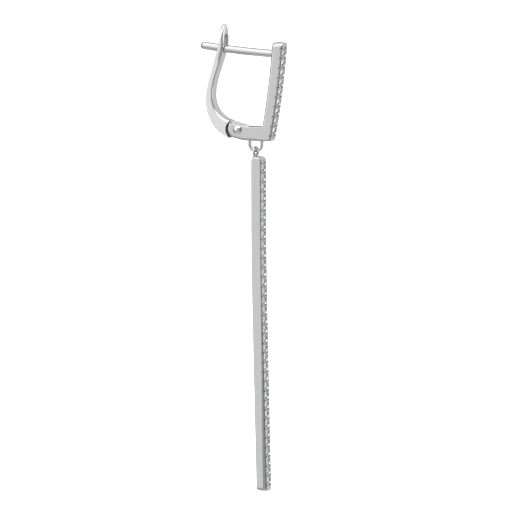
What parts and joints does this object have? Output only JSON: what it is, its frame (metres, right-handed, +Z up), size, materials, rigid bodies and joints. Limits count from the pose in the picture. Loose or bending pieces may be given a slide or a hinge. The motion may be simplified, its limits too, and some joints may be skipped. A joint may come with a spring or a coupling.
{
  "type": "bar drop earring",
  "caption": "Drop earring with a hinged lever clasp, a short stone-set front bar and a long slim stone-set bar swinging from a loop under it.",
  "frame": {"origin": "the seat of the ear: the point on the middle line of the post about half way between the front bar and the lever, where the lobe sits", "axes": "+X forward, out of the stone-set faces; +Y across the bars; +Z up, along the hanging bar"},
  "size_m": [0.0118, 0.0026, 0.0599],
  "materials": {
    "silver": "polished white metal, silver with a rhodium plating",
    "stones": "clear brilliant-cut stones, polished"
  },
  "bodies": {
    "clasp": {"front_frame": "silver", "hinge_pin": "silver", "front_stones": "stones"},
    "lever": {"lever": "silver"},
    "drop": {"drop_bar": "silver", "drop_stones": "stones"}
  },
  "joints": [
    {"name": "lever_hinge", "type": "hinge", "parent": "clasp", "child": "lever", "pos_m": [-0.00107, 0, -0.00997], "axis": [0, -1, 0], "range_deg": [0, 45]},
    {"name": "drop_swing", "type": "hinge", "parent": "clasp", "child": "drop", "pos_m": [0.0011, 0, -0.01271], "axis": [1, 0, 0], "range_deg": [-60, 60]}
  ]
}
